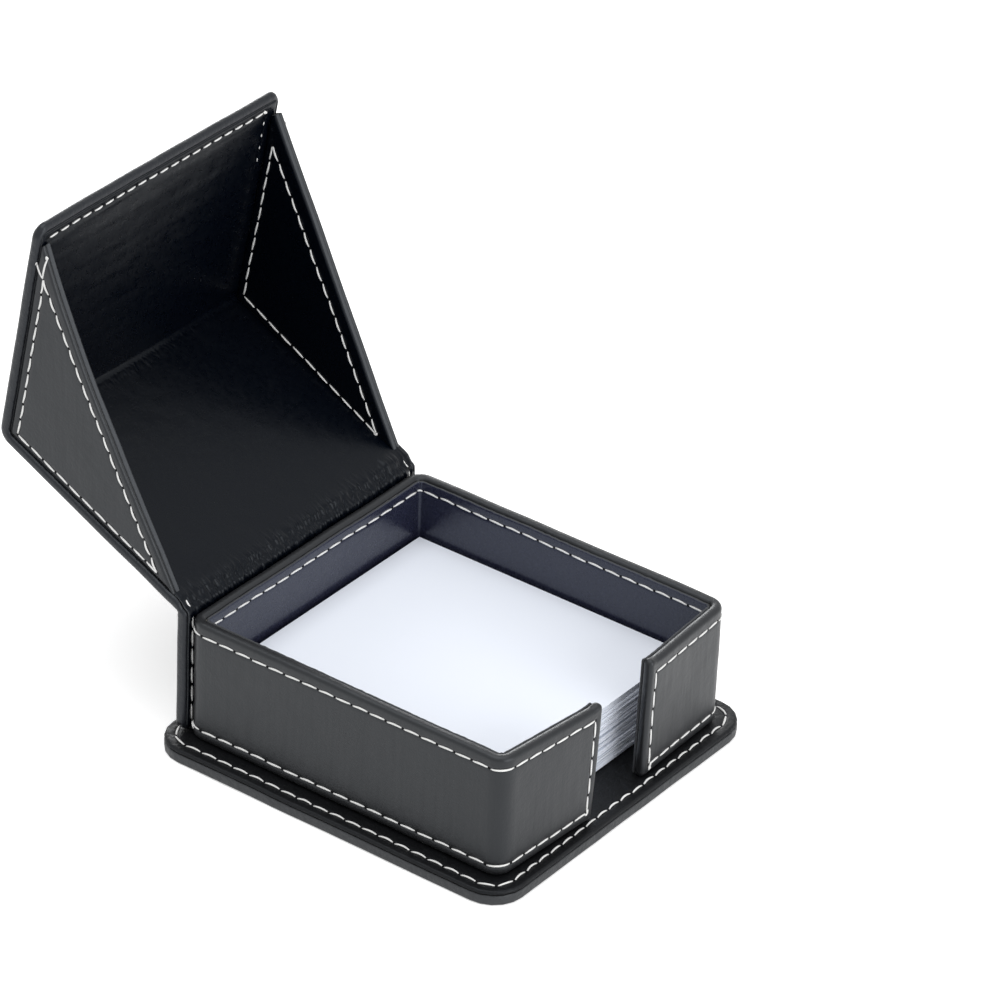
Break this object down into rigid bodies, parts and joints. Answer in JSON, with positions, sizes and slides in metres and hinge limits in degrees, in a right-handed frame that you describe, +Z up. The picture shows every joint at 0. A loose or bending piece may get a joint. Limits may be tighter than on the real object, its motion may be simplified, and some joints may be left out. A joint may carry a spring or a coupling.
{
  "type": "leather note holder",
  "caption": "House-shaped desk box of stitched leather that holds a stack of square note sheets under a gabled lid on a leather hinge.",
  "frame": {"origin": "centre of the underside of the base, where the holder stands on a desk", "axes": "+Z up, -Y to the front where the finger cutout is, +X to the right seen from the front; the lid rests open towards +Y"},
  "size_m": [0.1136, 0.1755, 0.1405],
  "materials": {
    "black_leather": "smooth semi-gloss with a fine grain",
    "navy_lining": "thin, smooth and glossy",
    "grey_board": "matte",
    "white_paper": "matte",
    "white_thread": "twisted thread with a soft sheen"
  },
  "bodies": {
    "box": {"base_outer_cover": "black_leather", "base_board": "grey_board", "base_top_sheet": "navy_lining", "tray_outer_cover": "black_leather", "tray_lining": "navy_lining", "tray_left_board": "grey_board", "tray_right_board": "grey_board", "tray_rear_board": "grey_board", "tray_front_left_board": "grey_board", "tray_front_right_board": "grey_board", "back_panel_cover": "black_leather", "back_panel_board": "grey_board", "back_panel_lining": "navy_lining", "note_sheets": "white_paper", "hinge_strip": "black_leather"},
    "lid": {"roof_outer_cover": "black_leather", "roof_lining": "navy_lining", "roof_rear_board": "grey_board", "roof_front_board": "grey_board", "left_gable_cover": "black_leather", "left_gable_board": "grey_board", "left_gable_lining": "navy_lining", "right_gable_cover": "black_leather", "right_gable_board": "grey_board", "right_gable_lining": "navy_lining"}
  },
  "joints": [
    {"name": "lid_hinge", "type": "hinge", "parent": "box", "child": "lid", "pos_m": [0, 0.0537, 0.0416], "axis": [1, 0, 0], "range_deg": [0, 114.5], "deforming": ["hinge_strip"]}
  ]
}
